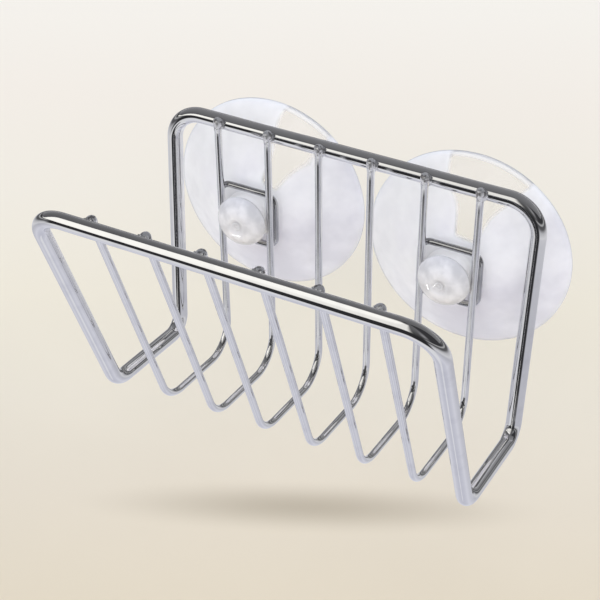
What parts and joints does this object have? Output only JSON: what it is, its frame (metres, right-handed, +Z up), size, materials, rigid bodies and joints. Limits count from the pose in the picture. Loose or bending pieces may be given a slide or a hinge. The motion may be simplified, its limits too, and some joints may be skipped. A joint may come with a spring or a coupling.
{
  "type": "sponge holder",
  "caption": "Chrome wire basket that holds a sponge beside a sink: thin U-shaped ribs between two bars, carried on a wall by clear suction cups in welded rings.",
  "frame": {"origin": "the point on the wall midway between the axes of the suction cups", "axes": "+X to the right as seen from the front, +Y into the wall, +Z up"},
  "size_m": [0.1428, 0.1005, 0.0978],
  "materials": {
    "chrome_wire": "bright plated",
    "clear_pvc": "clear, slightly milky"
  },
  "bodies": {
    "basket": {"frame_wire": "chrome_wire", "rib_1": "chrome_wire", "rib_2": "chrome_wire", "rib_3": "chrome_wire", "rib_4": "chrome_wire", "rib_5": "chrome_wire", "rib_6": "chrome_wire", "left_cup_ring": "chrome_wire", "right_cup_ring": "chrome_wire"},
    "left_cup": {"left_suction_cup": "clear_pvc"},
    "right_cup": {"right_suction_cup": "clear_pvc"}
  },
  "joints": [
    {"name": "left_cup_spin", "type": "hinge", "parent": "basket", "child": "left_cup", "pos_m": [-0.03644, 0, 0], "axis": [0, 1, 0], "continuous": true},
    {"name": "right_cup_spin", "type": "hinge", "parent": "basket", "child": "right_cup", "pos_m": [0.03644, 0, 0], "axis": [0, 1, 0], "continuous": true}
  ]
}
